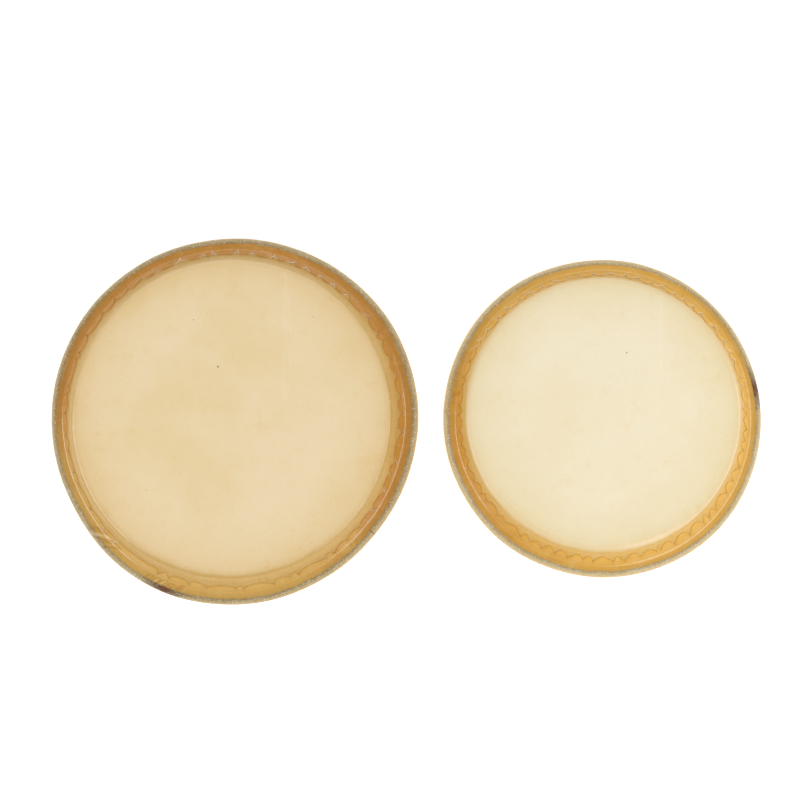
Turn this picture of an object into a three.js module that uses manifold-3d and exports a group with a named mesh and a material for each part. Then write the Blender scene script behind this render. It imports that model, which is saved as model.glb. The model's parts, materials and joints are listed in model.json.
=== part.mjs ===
// A pair of ready-mounted rawhide heads for two small hand drums, lying playing side up.
// Each head is one skin lapped wet round a steel flesh hoop: the flat playing face, the bend over
// the shell's bearing edge, the sloping collar, the wrap round the hoop and the flap that is tucked
// back up against the collar and trimmed into scallops. Millimetres, +Z up, z = 0 is the surface
// that the wrapped hoops rest on, and the origin is under the middle of the pair.

import * as THREE from "three";
import { mergeVertices } from "three/addons/utils/BufferGeometryUtils.js";
import Module from "manifold-3d";

// Driving dimensions of the pair.
const HEAD_GAP = 16.6; // clear space between the two wrapped hoops
const SMALL_HEAD_OFFSET = 2; // the small head lies this much further back

// Driving dimensions that both heads share.
const ROD_DIAMETER = 4.8; // round steel rod of the flesh hoops
const SKIN_THICKNESS = 0.9;
const LAP_GAP = 0.3; // between skin and rod, and between flap and collar
const SHELL_CLEARANCE = 1.8; // shell wall to the wrapped hoop
const HEAD_HEIGHT = 18; // resting surface to the playing face
const SHOULDER_RADIUS = 32; // slow curve at the rim of the playing face
const SHOULDER_ANGLE = 8; // degrees that it turns
const BEARING_RADIUS = 3.5; // bend over the shell's bearing edge
const CREASE_RADIUS = 2.5; // where the flap turns up against the collar
const TRIM_MARGIN = 3.4; // bearing bend to the flap's trimmed edge
const REST_FACET = 24; // degrees of the wrap that are flattened where it rests
const WELD_LENGTH = 5;
const WELD_HEIGHT = 0.15; // how far the weld stands out of the rod
const NOTCH_WIDTH = 5.6;
const NOTCH_DEPTH = 4.2;
const NOTCH_UNEVENNESS = 0.22; // hand-trimmed, so sizes wander by this share
const NOTCH_OVERRUN = 1; // the cut starts this far outside the trimmed edge

// What differs between them: the shell's outer diameter, how far inside it the playing face becomes
// flat, how many facets and scallops run round it, the direction of the weld and the stretch of the
// flap that is trimmed straight, both in degrees anticlockwise from +X.
const LARGE = {
  name: "large",
  shellDiameter: 216,
  crownInset: 13.5,
  facets: 56,
  weld: 246,
  plain: [226, 241],
};
const SMALL = {
  name: "small",
  shellDiameter: 184,
  crownInset: 12.3,
  facets: 56,
  weld: 10,
  plain: [0, 0],
};

const SKIN_COLOUR = { large: 0xe7d4aa, small: 0xf1e4c8 };
const STEEL_COLOUR = 0x8c8878;

const ROD_SIDES = 8;
const degrees = THREE.MathUtils.degToRad;
const wasm = await Module();
wasm.setup();

// A point at an angle from the radial direction, on a circle in the section plane (r, z).
function onCircle(centre, radius, angle) {
  return new THREE.Vector2(Math.cos(degrees(angle)), Math.sin(degrees(angle)))
    .multiplyScalar(radius)
    .add(centre);
}

function arc(centre, radius, from, to, steps) {
  return Array.from({ length: steps + 1 }, (_, i) =>
    onCircle(centre, radius, from + ((to - from) * i) / steps),
  );
}

// Sizes and section points of one head, all from the driving dimensions.
function layOut({ shellDiameter, crownInset }) {
  const wrapRadius = ROD_DIAMETER / 2 + LAP_GAP + SKIN_THICKNESS / 2;
  const outerRadius = shellDiameter / 2 + SHELL_CLEARANCE + 2 * wrapRadius + SKIN_THICKNESS;
  const hoopHeight = wrapRadius * Math.cos(degrees(REST_FACET / 2)) + SKIN_THICKNESS / 2;
  const hoop = new THREE.Vector2(outerRadius - wrapRadius - SKIN_THICKNESS / 2, hoopHeight);

  const faceHeight = HEAD_HEIGHT - SKIN_THICKNESS / 2;
  const flatRadius = shellDiameter / 2 - crownInset;
  const shoulder = new THREE.Vector2(flatRadius, faceHeight - SHOULDER_RADIUS);
  const bend = onCircle(shoulder, SHOULDER_RADIUS - BEARING_RADIUS, 90 - SHOULDER_ANGLE);

  // The collar is the straight line that touches the wrap on its lower inner side and the bend on
  // its upper outer side, so the direction of its normal follows from where the two circles are.
  const across = hoop.clone().sub(bend);
  const opening = Math.acos((wrapRadius + BEARING_RADIUS) / across.length());
  const normal = THREE.MathUtils.radToDeg(Math.atan2(across.y, across.x) + opening);
  const outward = onCircle(new THREE.Vector2(), 1, normal);
  const upCollar = onCircle(new THREE.Vector2(), 1, normal + 90);

  // The flap leaves the top of the wrap level, turns at the crease and runs parallel to the collar.
  const layer = SKIN_THICKNESS + LAP_GAP;
  const flapFoot = hoop.clone().addScaledVector(outward, layer - wrapRadius);
  const wrapTop = hoop.y + wrapRadius;
  const crease = flapFoot.clone().addScaledVector(upCollar, (wrapTop - flapFoot.y) / upCollar.y);
  crease.x += CREASE_RADIUS * Math.tan(degrees(90 - normal) / 2);
  crease.y = wrapTop + CREASE_RADIUS;
  const flapEnd = onCircle(bend, BEARING_RADIUS, normal)
    .addScaledVector(outward, layer)
    .addScaledVector(upCollar, -TRIM_MARGIN);

  return {
    hoop, wrapRadius, shoulder, bend, faceHeight, crease, flapEnd, normal, outward, outerRadius,
  };
}

// The middle line of the skin in section, from the drum's axis out to the trimmed edge.
function skinPath({ hoop, wrapRadius, shoulder, bend, faceHeight, crease, flapEnd, normal }) {
  const restStart = 270 - REST_FACET / 2;
  const restEnd = 270 + REST_FACET / 2;
  return [
    new THREE.Vector2(0, faceHeight),
    ...arc(shoulder, SHOULDER_RADIUS, 90, 90 - SHOULDER_ANGLE, 2),
    ...arc(bend, BEARING_RADIUS, 90 - SHOULDER_ANGLE, normal, 3).slice(1),
    ...arc(hoop, wrapRadius, 180 + normal, restStart, 2),
    ...arc(hoop, wrapRadius, restEnd, 450, 6),
    ...arc(crease, CREASE_RADIUS, 270, 180 + normal, 2),
    flapEnd,
  ];
}

// A closed outline of even thickness round a path, with mitred corners. The path starts on the axis,
// so its first cut is upright.
function ribbon(path, thickness) {
  const side = (sign) =>
    path.map((point, i) => {
      const before = point.clone().sub(path[Math.max(i - 1, 0)]);
      const after = path[Math.min(i + 1, path.length - 1)].clone().sub(point);
      const first = (before.lengthSq() ? before : after).normalize();
      const last = (after.lengthSq() ? after : before).normalize();
      const mitre = first.clone().add(last).normalize();
      const reach = (sign * thickness) / 2 / mitre.dot(first);
      return new THREE.Vector2(point.x - mitre.y * reach, point.y + mitre.x * reach);
    });
  return [...side(-1), ...side(1).reverse()];
}

function ring(outline, facets) {
  return new THREE.LatheGeometry(outline, facets).rotateX(Math.PI / 2);
}

function toSolid(geometry) {
  const bare = geometry.clone().deleteAttribute("normal").deleteAttribute("uv");
  const merged = mergeVertices(bare, 1e-3);
  return new wasm.Manifold(
    new wasm.Mesh({
      numProp: 3,
      vertProperties: merged.attributes.position.array,
      triVerts: new Uint32Array(merged.index.array),
    }),
  );
}

function toGeometry(solid) {
  const { vertProperties, triVerts } = solid.getMesh();
  const indexed = new THREE.BufferGeometry()
    .setAttribute("position", new THREE.BufferAttribute(vertProperties, 3))
    .setIndex(new THREE.BufferAttribute(triVerts, 1));
  const faceted = indexed.toNonIndexed();
  faceted.computeVertexNormals();
  return faceted;
}

// From -1 to 1, and never the same twice in a row.
function uneven(k) {
  return 0.55 * Math.sin(2.4 * k + 0.7) + 0.45 * Math.sin(5.3 * k);
}

// One V-shaped cutter, its back in the middle of the lap's gap, at a facet of the flap.
function notchCutter(layout, facets, k) {
  const angle = ((k + 0.5) * 2 * Math.PI) / facets;
  const halfWidth = (NOTCH_WIDTH / 2) * (1 + NOTCH_UNEVENNESS * uneven(k));
  const depth = NOTCH_DEPTH * (1 + NOTCH_UNEVENNESS * uneven(k + 0.5));
  const mouth = (halfWidth * (depth + NOTCH_OVERRUN)) / depth;
  const wedge = new THREE.Shape([
    new THREE.Vector2(0, -depth),
    new THREE.Vector2(mouth, NOTCH_OVERRUN),
    new THREE.Vector2(-mouth, NOTCH_OVERRUN),
  ]);
  const through = SKIN_THICKNESS + LAP_GAP + NOTCH_OVERRUN;
  const cutter = new THREE.ExtrudeGeometry(wedge, { depth: through, bevelEnabled: false });

  const { flapEnd, outward } = layout;
  const gapMiddle = flapEnd.clone().addScaledVector(outward, -(SKIN_THICKNESS + LAP_GAP) / 2);
  const radial = new THREE.Vector3(Math.cos(angle), Math.sin(angle), 0);
  const up = new THREE.Vector3(0, 0, 1);
  const along = new THREE.Vector3(-Math.sin(angle), Math.cos(angle), 0);
  const normal = radial.clone().multiplyScalar(outward.x).addScaledVector(up, outward.y);
  const upFlap = normal.clone().cross(along);
  const place = radial
    .multiplyScalar(gapMiddle.x * Math.cos(Math.PI / facets))
    .addScaledVector(up, gapMiddle.y);
  cutter.applyMatrix4(new THREE.Matrix4().makeBasis(along, upFlap, normal).setPosition(place));
  return toSolid(cutter);
}

function isPlain(k, { facets, plain }) {
  const angle = ((k + 0.5) * 360) / facets;
  return angle > plain[0] && angle < plain[1];
}

function makeSkin(head, layout) {
  let skin = toSolid(ring(ribbon(skinPath(layout), SKIN_THICKNESS), head.facets));
  for (let k = 0; k < head.facets; k++) {
    if (!isPlain(k, head)) skin = skin.subtract(notchCutter(layout, head.facets, k));
  }
  const leather = new THREE.MeshStandardMaterial({
    color: SKIN_COLOUR[head.name],
    roughness: 0.55,
    metalness: 0,
  });
  return new THREE.Mesh(toGeometry(skin), leather);
}

// The rod is a ring of polygonal section, with the butt weld as a low collar round it at the
// facet that is nearest to the weld's direction.
function makeHoop(head, { hoop }) {
  const section = arc(hoop, ROD_DIAMETER / 2, 0, 360, ROD_SIDES);
  const rod = toSolid(ring(section, head.facets));

  const facet = Math.floor((head.weld * head.facets) / 360) + 0.5;
  const bead = new THREE.CylinderGeometry(
    ROD_DIAMETER / 2 + WELD_HEIGHT,
    ROD_DIAMETER / 2 + WELD_HEIGHT,
    WELD_LENGTH,
    ROD_SIDES,
  );
  bead.translate(hoop.x * Math.cos(Math.PI / head.facets), 0, hoop.y);
  bead.rotateZ((facet * 2 * Math.PI) / head.facets);
  const steel = new THREE.MeshStandardMaterial({
    color: STEEL_COLOUR,
    roughness: 0.4,
    metalness: 0.9,
  });
  return new THREE.Mesh(toGeometry(rod.add(toSolid(bead))), steel);
}

function makeHead(head, layout, x, y) {
  const parts = { skin: makeSkin(head, layout), flesh_hoop: makeHoop(head, layout) };
  const group = new THREE.Group();
  for (const [part, mesh] of Object.entries(parts)) {
    mesh.name = `${head.name}_${part}`;
    group.add(mesh);
  }
  group.position.set(x, y, 0);
  return group;
}

const largeLayout = layOut(LARGE);
const smallLayout = layOut(SMALL);
const halfLength = largeLayout.outerRadius + HEAD_GAP / 2 + smallLayout.outerRadius;

const group = new THREE.Group();
group.add(
  makeHead(LARGE, largeLayout, largeLayout.outerRadius - halfLength, 0),
  makeHead(SMALL, smallLayout, halfLength - smallLayout.outerRadius, SMALL_HEAD_OFFSET),
);

export default group;
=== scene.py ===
"""Finishes a pair of mounted hand-drum heads round their CAD frame.

Each head is one rawhide disc lapped wet round a steel flesh hoop. Its playing face bends over the
shell's bearing edge into a sloping collar, wraps the hoop and comes back up the collar as a flap whose
edge is trimmed by hand into scalloped tabs. Metres, +Z up.
"""

import json
import math

import bpy
import numpy as np
from bpy.props import (
    FloatProperty,
    FloatVectorProperty,
    IntProperty,
    PointerProperty,
)
from bpy.types import Operator, Panel, PropertyGroup
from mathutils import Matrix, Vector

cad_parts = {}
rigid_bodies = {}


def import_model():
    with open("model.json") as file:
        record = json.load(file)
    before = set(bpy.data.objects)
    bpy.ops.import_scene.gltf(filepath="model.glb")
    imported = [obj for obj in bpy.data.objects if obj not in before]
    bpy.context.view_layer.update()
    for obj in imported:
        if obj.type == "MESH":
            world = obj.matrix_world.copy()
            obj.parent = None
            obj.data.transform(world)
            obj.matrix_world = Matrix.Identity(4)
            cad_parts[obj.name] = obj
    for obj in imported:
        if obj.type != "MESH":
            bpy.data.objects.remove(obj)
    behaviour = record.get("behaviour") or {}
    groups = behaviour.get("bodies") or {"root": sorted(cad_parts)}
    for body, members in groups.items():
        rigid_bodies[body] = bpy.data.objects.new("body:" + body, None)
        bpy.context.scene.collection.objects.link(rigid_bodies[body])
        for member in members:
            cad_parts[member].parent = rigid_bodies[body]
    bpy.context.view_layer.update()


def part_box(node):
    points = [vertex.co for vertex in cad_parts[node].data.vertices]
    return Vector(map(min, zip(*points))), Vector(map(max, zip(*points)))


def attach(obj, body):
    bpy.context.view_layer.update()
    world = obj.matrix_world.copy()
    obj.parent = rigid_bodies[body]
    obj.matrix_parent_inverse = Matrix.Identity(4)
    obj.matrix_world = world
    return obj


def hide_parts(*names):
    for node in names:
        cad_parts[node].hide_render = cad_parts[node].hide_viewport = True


bl_info = {
    "name": "Mounted Drum Heads",
    "version": (1, 0, 0),
    "blender": (4, 5, 0),
    "location": "3D View > Sidebar > Drum Heads",
    "description": "Rawhide heads lapped round their flesh hoops",
    "category": "Add Mesh",
}

MM = 0.001
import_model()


# --- Settings that a user would change ---


def length(name, description, millimetres):
    return FloatProperty(
        name=name,
        description=description,
        default=millimetres * MM,
        subtype="DISTANCE",
        unit="LENGTH",
    )


def angle(name, description, degrees):
    return FloatProperty(
        name=name,
        description=description,
        default=math.radians(degrees),
        subtype="ANGLE",
        unit="ROTATION",
    )


def plan_offset(name, description, millimetres):
    return FloatVectorProperty(
        name=name,
        description=description,
        default=[value * MM for value in millimetres],
        size=2,
        subtype="TRANSLATION",
        unit="LENGTH",
    )


def colour(name, description, display):
    """A colour property whose default is given as display red, green and blue from 0 to 255."""
    return FloatVectorProperty(
        name=name,
        description=description,
        default=[linear(value / 255) for value in display],
        size=3,
        min=0.0,
        max=1.0,
        subtype="COLOR",
    )


def linear(share):
    return share / 12.92 if share <= 0.04045 else ((share + 0.055) / 1.055) ** 2.4


def number(name, description, value):
    return FloatProperty(name=name, description=description, default=value)


def whole_number(name, description, value):
    return IntProperty(name=name, description=description, default=value)


class HeadSizes(PropertyGroup):
    """Sizes that both heads share."""

    rod: length("Hoop rod", "Diameter of the steel rod", 4.8)
    hide: length("Hide thickness", "Thickness of the playing face and collar", 0.9)
    edge: length("Trimmed edge thickness", "Thickness of the flap at its trimmed edge", 0.14)
    lap: length("Lap gap", "Play between hide and rod, and between flap and collar", 0.3)
    shoulder: length("Shoulder radius", "Slow curve at the rim of the playing face", 32)
    shoulder_turn: angle("Shoulder turn", "Angle that the slow curve turns", 8)
    bearing: length("Bearing bend", "Radius over the shell's bearing edge", 3.5)
    crease: length("Crease radius", "Where the flap turns up against the collar", 2.6)
    tab_steps: whole_number("Steps per tab", "Mesh steps along a tab", 10)
    uneven: number("Unevenness", "How far hand cuts wander", 0.4)
    fibres: whole_number("Fibres", "Loose fibres on each trimmed edge", 260)


# The settings that each head has for itself: kind, name and description.
OWN_SETTINGS = {
    "flat": (length, "Flat radius", "Radius of the flat playing face"),
    "trim": (length, "Trim margin", "Bearing bend to the flap's trimmed edge"),
    "longer": (plan_offset, "Longer side", "How much longer the flap is toward a side"),
    "tabs": (whole_number, "Tabs", "Scalloped tabs round the flap"),
    "notch": (number, "Notch depth", "Share of the flap's width"),
    "weld": (angle, "Weld direction", "Where the hoop's butt weld is"),
    "plain_from": (angle, "Plain from", "Start of the edge that is trimmed straight"),
    "plain_to": (angle, "Plain to", "End of the edge that is trimmed straight"),
    "roundness": (number, "Tab roundness", "1 is a zigzag"),
    # Painted light and shade: the flap is drawn lighter round this direction and darker elsewhere.
    "gold": (angle, "Golden side", "Where the flap is lightest"),
    "gold_spread": (angle, "Golden spread", "Half the width of the light stretch"),
    "rim_shift": (length, "Rim shift", "Start of the bearing bend to the edge of the pale face"),
    "fade": (length, "Fade", "Width of the soft edge of the pale face"),
    "clouds": (number, "Clouds", "Strength of the face's clouds"),
    "stray": (plan_offset, "Stray", "How far the pale face lies off the middle"),
    "face": (colour, "Face", "Middle of the playing face"),
    "rim": (colour, "Rim", "Outer part of the playing face"),
    "band": (colour, "Band", "Single layer over the bend and the collar"),
    # The doubled flap's colour in painted shade, then in painted light.
    "flap": (colour, "Flap", "Two layers, on the darker side"),
    "golden": (colour, "Golden flap", "Two layers, where they are lightest"),
    "steel": (colour, "Over steel", "Hide with the rod close behind it"),
    "burn": (colour, "Burn", "Stain over the weld"),
}


def own_settings(**defaults):
    """Properties for OWN_SETTINGS with one head's defaults, in mm, degrees or display colours."""
    return {
        key: kind(name, description, defaults[key])
        for key, (kind, name, description) in OWN_SETTINGS.items()
    }


class LargeHide(PropertyGroup):
    """The large head's own sizes and colours."""

    __annotations__ = own_settings(
        flat=94.5,
        trim=6.0,
        longer=(0.0, 0.0),
        tabs=56,
        notch=0.96,
        weld=248.6,
        plain_from=231,
        plain_to=241,
        roundness=2.8,
        gold=252,
        gold_spread=62,
        rim_shift=1.7,
        fade=4.5,
        clouds=1.0,
        stray=(0.0, 0.9),
        face=(233, 213, 173),
        rim=(228, 201, 152),
        band=(206, 167, 94),
        flap=(189, 132, 47),
        golden=(205, 162, 79),
        steel=(178, 156, 110),
        burn=(98, 48, 10),
    )


class SmallHide(PropertyGroup):
    """The small head's own sizes and colours."""

    __annotations__ = own_settings(
        flat=79.7,
        trim=2.4,
        longer=(1.3, 1.0),
        tabs=66,
        notch=0.92,
        weld=10,
        plain_from=0,
        plain_to=0,
        roundness=1.45,
        gold=20,
        gold_spread=140,
        rim_shift=3.0,
        fade=5.5,
        clouds=0.55,
        stray=(-0.5, 0.6),
        face=(240, 228, 199),
        rim=(235, 218, 178),
        band=(222, 177, 90),
        flap=(208, 151, 57),
        golden=(218, 168, 70),
        steel=(201, 179, 132),
        burn=(98, 48, 10),
    )


class StudioSettings(PropertyGroup):
    """Camera and light."""

    lens: number("Lens", "Focal length in millimetres", 70.0)
    camera_place: FloatVectorProperty(
        name="Camera place",
        description="Where the camera stands",
        default=(0.0174, -0.0870, 0.9917),
        subtype="TRANSLATION",
        unit="LENGTH",
    )
    camera_turn: FloatVectorProperty(
        name="Camera turn",
        description="Rotation away from looking straight down",
        default=(0.1001, 0.0203, 0.0017),
        subtype="EULER",
    )
    sky: number("Sky", "Strength of the even surround", 0.405)
    right_panel: number("Right panel", "Power in watts", 10.0)
    left_panel: number("Left panel", "Power in watts", 7.2)
    back_panel: number("Back panel", "Power in watts", 4.5)
    key_light: number("Key light", "Power in watts", 1.6)


# --- Node trees ---


class Socket:
    """A node's output that takes part in Python arithmetic by adding Math nodes."""

    def __init__(self, nodes, output):
        self.nodes = nodes
        self.output = output

    def __getitem__(self, name):
        return Socket(self.nodes, self.output.node.outputs[name])

    def math(self, operation, *others):
        return self.nodes.math(operation, self, *others)

    def __add__(self, other):
        return self.math("ADD", other)

    def __sub__(self, other):
        return self.math("SUBTRACT", other)

    def __rsub__(self, other):
        return self.nodes.math("SUBTRACT", other, self)

    def __mul__(self, other):
        return self.math("MULTIPLY", other)

    def __truediv__(self, other):
        return self.math("DIVIDE", other)

    def __pow__(self, other):
        return self.math("POWER", other)

    def __gt__(self, other):
        return self.math("GREATER_THAN", other)

    def __lt__(self, other):
        return self.math("LESS_THAN", other)

    __radd__ = __add__


class Nodes:
    """Adds nodes to a shader tree or a geometry tree."""

    def __init__(self, tree):
        self.tree = tree

    def add(self, kind, settings=None, inputs=None):
        """One node: its settings first, then the values or links of its sockets."""
        node = self.tree.nodes.new(kind)
        for name, value in (settings or {}).items():
            if name == "stops":
                self.set_stops(node.color_ramp.elements, value)
            else:
                setattr(node, name, value)
        for name, value in (inputs or {}).items():
            slot = self.slot(node, name)
            if isinstance(value, Socket):
                self.tree.links.new(value.output, slot)
            else:
                slot.default_value = value
        return Socket(self, next((o for o in node.outputs if o.enabled), None))

    @staticmethod
    def slot(node, name):
        if isinstance(name, int):
            return node.inputs[name]
        return next(s for s in node.inputs if s.name == name and s.enabled)

    @staticmethod
    def set_stops(elements, stops):
        while len(elements) > 1:
            elements.remove(elements[-1])
        for i, (place, value) in enumerate(stops):
            element = elements[0] if i == 0 else elements.new(place)
            element.position = place
            element.color = (*value, 1.0) if len(value) == 3 else value

    def math(self, operation, *values):
        return self.add("ShaderNodeMath", {"operation": operation}, dict(enumerate(values)))

    def mix(self, factor, first, second, blend="MIX"):
        settings = {"data_type": "RGBA", "blend_type": blend}
        first, second = (c if isinstance(c, Socket) else (*c, 1.0) for c in (first, second))
        return self.add("ShaderNodeMix", settings, {"Factor": factor, "A": first, "B": second})

    def tinted(self, tone, tint):
        return self.mix(1.0, tone, tint, "MULTIPLY")

    def step(self, value, low, high, start=0.0, end=1.0):
        """A smooth step from start to end as value goes from low to high."""
        return self.add(
            "ShaderNodeMapRange",
            {"interpolation_type": "SMOOTHSTEP"},
            {"Value": value, "From Min": low, "From Max": high, "To Min": start, "To Max": end},
        )

    def hump(self, value, middle, half):
        """1 where value is middle, falling smoothly to 0 at half to either side."""
        away = (value - middle).math("ABSOLUTE")
        return self.step(away, 0.0, half, 1.0, 0.0)

    def vector_math(self, operation, first, second):
        settings = {"operation": operation}
        return self.add("ShaderNodeVectorMath", settings, {0: first, 1: second})

    def axes(self, vector):
        """A vector's X, Y and Z outputs, by name."""
        return self.add("ShaderNodeSeparateXYZ", {}, {0: vector})

    def noise(self, vector, scale, detail=2.0, roughness=0.5):
        sockets = {"Vector": vector, "Scale": scale, "Detail": detail, "Roughness": roughness}
        return self.add("ShaderNodeTexNoise", {}, sockets)


class Recipe:
    """A geometry tree with named inputs."""

    KINDS = {int: "NodeSocketInt", float: "NodeSocketFloat", tuple: "NodeSocketVector"}

    def __init__(self, name, defaults):
        self.tree = bpy.data.node_groups.new(name, "GeometryNodeTree")
        self.nodes = Nodes(self.tree)
        sockets = self.tree.interface
        sockets.new_socket("Geometry", in_out="OUTPUT", socket_type="NodeSocketGeometry")
        sockets.new_socket("Geometry", in_out="INPUT", socket_type="NodeSocketGeometry")
        for label, default in defaults.items():
            item = sockets.new_socket(label, in_out="INPUT", socket_type=self.KINDS[type(default)])
            item.default_value = default
        sockets.new_socket("Material", in_out="INPUT", socket_type="NodeSocketMaterial")
        self.start = self.tree.nodes.new("NodeGroupInput")

    def __getitem__(self, label):
        return Socket(self.nodes, self.start.outputs[label])

    def finish(self, geometry):
        """Ends the tree with Realize Instances and Set Material."""
        add = self.nodes.add
        real = add("GeometryNodeRealizeInstances", {}, {"Geometry": geometry})
        sockets = {"Geometry": real, "Material": self["Material"]}
        painted = add("GeometryNodeSetMaterial", {}, sockets)
        end = self.tree.nodes.new("NodeGroupOutput")
        self.tree.links.new(painted.output, end.inputs["Geometry"])

    def make(self, name, mesh, values):
        """Runs the tree on a host mesh and returns the result as a plain mesh object."""
        host = bpy.data.objects.new(name, mesh)
        bpy.context.scene.collection.objects.link(host)
        modifier = host.modifiers.new(self.tree.name, "NODES")
        modifier.node_group = self.tree
        for item in self.tree.interface.items_tree:
            if item.in_out == "INPUT" and item.name in values:
                modifier[item.identifier] = values[item.name]
        graph = bpy.context.evaluated_depsgraph_get()
        result = bpy.data.meshes.new_from_object(
            host.evaluated_get(graph), preserve_all_data_layers=True, depsgraph=graph
        )
        result.name = name
        host.modifiers.clear()
        host.data = result
        bpy.data.meshes.remove(mesh)
        return host


# --- The section of a head ---


# Mesh steps along each stretch of the section.
STEPS = {
    "face": 14,
    "shoulder": 8,
    "bend": 10,
    "collar": 12,
    "wrap": 26,
    "top": 4,
    "crease": 9,
    "flap": 14,
}
# Shares of those steps: on the sides that are seen, on those that are hidden, and for measuring.
FINE, COARSE, MEASURING = 1.0, 0.4, 4.0
# Share of the lap gap that the trimmed edge is pressed down through, on to the collar.
PRESSED = 0.95


class Section:
    """One head's section, from its frame's box and the settings: radii and heights in metres."""

    def __init__(self, name, sizes, hide):
        low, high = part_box(f"{name}_skin")
        self.name = name
        self.sizes = sizes
        self.hide = hide
        self.centre = (low + high) / 2
        self.height = high.z
        outer = (high.x - low.x) / 2
        self.wrap_radius = sizes.rod / 2 + sizes.lap + sizes.hide / 2
        rod_low, rod_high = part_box(f"{name}_flesh_hoop")
        self.rod_height = (rod_low.z + rod_high.z) / 2
        self.hoop = np.array([outer - self.wrap_radius - sizes.hide / 2, self.rod_height])

        face = self.height - sizes.hide / 2
        self.flat_radius = hide.flat
        self.shoulder = np.array([hide.flat, face - sizes.shoulder])
        turn = math.pi / 2 - sizes.shoulder_turn
        self.bend = self.shoulder + (sizes.shoulder - sizes.bearing) * unit(turn)

        # The collar is the straight line that touches the wrap's lower inner side and the bend's
        # upper outer side.
        across = self.hoop - self.bend
        opening = math.acos((self.wrap_radius + sizes.bearing) / np.linalg.norm(across))
        self.normal = math.atan2(across[1], across[0]) + opening
        outward = unit(self.normal)
        up_collar = unit(self.normal + math.pi / 2)

        layer = sizes.hide + sizes.lap
        flap_foot = self.hoop + (layer - self.wrap_radius) * outward
        wrap_top = self.hoop[1] + self.wrap_radius
        meet = flap_foot + up_collar * (wrap_top - flap_foot[1]) / up_collar[1]
        spread = sizes.crease * math.tan((math.pi / 2 - self.normal) / 2)
        self.crease = np.array([meet[0] + spread, wrap_top + sizes.crease])
        self.flap_end = self.bend + (sizes.bearing + layer) * outward - hide.trim * up_collar

    def middle_line(self, head, tail):
        """Points of the hide's middle line and the name of the stretch that each belongs to. The
        detail is head from the axis to the foot of the collar, and tail from there on."""
        sizes = self.sizes
        quarter = math.pi / 2
        turn = quarter - sizes.shoulder_turn
        flap_side = math.pi + self.normal
        foot = self.hoop - self.wrap_radius * unit(self.normal)
        top = self.bend + sizes.bearing * unit(self.normal)
        crease_end = self.crease - sizes.crease * unit(self.normal)
        face = self.height - sizes.hide / 2
        wrap_top = self.hoop + self.wrap_radius * unit(quarter)
        rim = (self.crease[0], wrap_top[1])
        stretches = {
            "face": straight((0, face), (self.flat_radius, face), STEPS["face"] * head),
            "shoulder": arc(self.shoulder, sizes.shoulder, quarter, turn, STEPS["shoulder"] * head),
            "bend": arc(self.bend, sizes.bearing, turn, self.normal, STEPS["bend"] * head),
            "collar": straight(top, foot, STEPS["collar"] * head),
            "wrap": arc(self.hoop, self.wrap_radius, flap_side, 5 * quarter, STEPS["wrap"] * tail),
            "top": straight(wrap_top, rim, STEPS["top"] * tail),
            "crease": arc(self.crease, sizes.crease, 3 * quarter, flap_side, STEPS["crease"] * tail),
            "flap": straight(crease_end, self.flap_end, STEPS["flap"] * tail),
        }
        points = np.vstack([s[:-1] for s in stretches.values()] + [self.flap_end])
        counts = [len(s) - 1 for s in stretches.values()]
        counts[-1] += 1
        names = np.repeat(list(stretches), counts)
        points[:, 1] = np.maximum(points[:, 1], sizes.hide / 2)  # flat where it rests
        return points, names

    def flap_width(self):
        marks = self.landmarks()
        return float(marks["end"] - marks["flap"])

    def landmarks(self):
        """Length along the middle line, in metres, at which each stretch starts, and its end."""
        points, names = self.middle_line(MEASURING, MEASURING)
        along = run_length(points)
        starts = {n: along[np.argmax(names == n)] for n in dict.fromkeys(names)}
        starts["limb"] = starts["top"] - self.wrap_radius * math.pi / 2
        starts["end"] = along[-1]
        return starts

    def outline(self):
        """Host mesh of the closed section: the outer side from the axis, the rounded edge, and the
        inner side back to the axis. It carries what the finishing needs as attributes."""
        outer = self.side(1, FINE, COARSE)
        inner = self.side(-1, COARSE, FINE)
        rim_out = {k: outer[k][-1:] for k in outer}
        rim_in = {k: inner[k][-1:] for k in inner}
        cap = {k: (rim_out[k] + rim_in[k]) / 2 for k in outer}
        ahead = unit(self.normal + math.pi / 2) * self.sizes.edge / 3
        cap["r"] = cap["r"] + ahead[0]
        cap["z"] = cap["z"] + ahead[1]
        cap["tip"] = np.ones(1)
        rows = {k: np.concatenate([outer[k], cap[k], inner[k][::-1]]) for k in outer}
        mesh = bpy.data.meshes.new(f"{self.name}_section")
        count = len(rows["r"])
        edges = [(i, i + 1) for i in range(count - 1)]
        places = np.stack([rows["r"], np.zeros(count), rows["z"]], axis=1)
        mesh.from_pydata(places.tolist(), edges, [])
        for name in ("along", "flap", "tip", "lift_r", "lift_z"):
            mesh.attributes.new(name, "FLOAT", "POINT").data.foreach_set("value", rows[name])
        return mesh

    def side(self, sign, head, tail):
        """One face of the hide: 1 is the grain side, which is up on the playing face and lies
        against the rod and the collar further on, and -1 is the other."""
        points, names = self.middle_line(head, tail)
        along = run_length(points)
        ahead = np.gradient(points, axis=0)
        ahead /= np.linalg.norm(ahead, axis=1)[:, None]
        ahead[0] = (1, 0)
        lean = np.stack([-ahead[:, 1], ahead[:, 0]], axis=1)
        crease = along[np.argmax(names == "crease")]
        flap_start = along[np.argmax(names == "flap")]
        taper = np.clip((along - crease) / (along[-1] - crease), 0, 1)
        thick = self.sizes.hide + (self.sizes.edge - self.sizes.hide) * taper
        press = taper * ((self.sizes.hide - self.sizes.edge) / 2 + PRESSED * self.sizes.lap)
        shifted = points + lean * (sign * thick / 2 + press)[:, None]
        flap = np.clip((along - flap_start) / (along[-1] - flap_start), 0, 1)
        zero = np.zeros(len(points))
        return {
            "r": shifted[:, 0],
            "z": shifted[:, 1],
            "along": along / MM,
            "flap": flap,
            "tip": zero,
            "lift_r": -lean[:, 0],
            "lift_z": -lean[:, 1],
        }


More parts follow.
